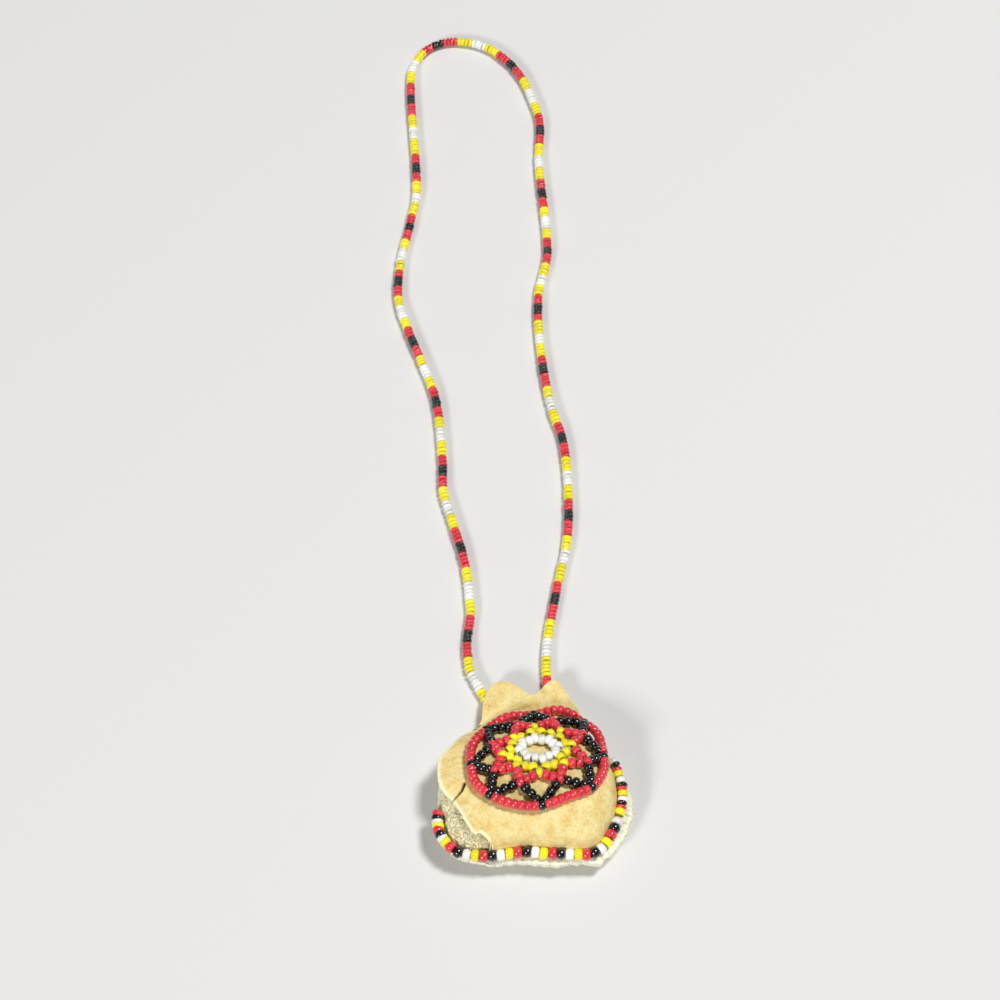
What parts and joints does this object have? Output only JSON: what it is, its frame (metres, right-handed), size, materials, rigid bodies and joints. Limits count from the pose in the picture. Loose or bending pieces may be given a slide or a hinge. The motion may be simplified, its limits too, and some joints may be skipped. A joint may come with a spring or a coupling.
{
  "type": "beaded medicine bag",
  "caption": "Small leather neck pouch filled out soft, with a netted bead rosette on its front, a beaded whip-stitched edge and a long beaded neck strand.",
  "frame": {"origin": "on the resting plane, under the middle of the bag's own box without its neck strand", "axes": "+X to the right as the front is looked at, +Y towards the mouth and the neck strand, +Z out of the front"},
  "size_m": [0.0824, 0.3571, 0.022],
  "materials": {
    "rough_leather": "rough flesh side, napped",
    "tan_leather": "soft matt",
    "white_beads": "opaque gloss",
    "yellow_beads": "opaque gloss",
    "red_beads": "opaque gloss",
    "black_beads": "opaque gloss",
    "thread": "waxed thread"
  },
  "bodies": {
    "root": {"pouch": "rough_leather", "front_leather": "tan_leather", "rosette_centre_ring": "white_beads", "rosette_star_point_1": "yellow_beads", "rosette_star_point_2": "yellow_beads", "rosette_star_point_3": "yellow_beads", "rosette_star_point_4": "yellow_beads", "rosette_star_point_5": "yellow_beads", "rosette_star_point_6": "yellow_beads", "rosette_star_point_7": "yellow_beads", "rosette_star_point_8": "yellow_beads", "rosette_petal_1": "red_beads", "rosette_petal_2": "red_beads", "rosette_petal_3": "red_beads", "rosette_petal_4": "red_beads", "rosette_petal_5": "red_beads", "rosette_petal_6": "red_beads", "rosette_petal_7": "red_beads", "rosette_petal_8": "red_beads", "rosette_vee_1": "black_beads", "rosette_vee_2": "black_beads", "rosette_vee_3": "black_beads", "rosette_vee_4": "black_beads", "rosette_vee_5": "black_beads", "rosette_vee_6": "black_beads", "rosette_vee_7": "black_beads", "rosette_vee_8": "black_beads", "rosette_rim_1": "red_beads", "rosette_rim_2": "red_beads", "rosette_rim_3": "red_beads", "rosette_rim_4": "red_beads", "rosette_rim_5": "red_beads", "rosette_rim_6": "red_beads", "rosette_rim_7": "red_beads", "rosette_rim_8": "red_beads", "edge_beading": "white_beads", "neck_strand": "yellow_beads", "strand_knot_left": "thread", "strand_knot_right": "thread"}
  },
  "joints": []
}
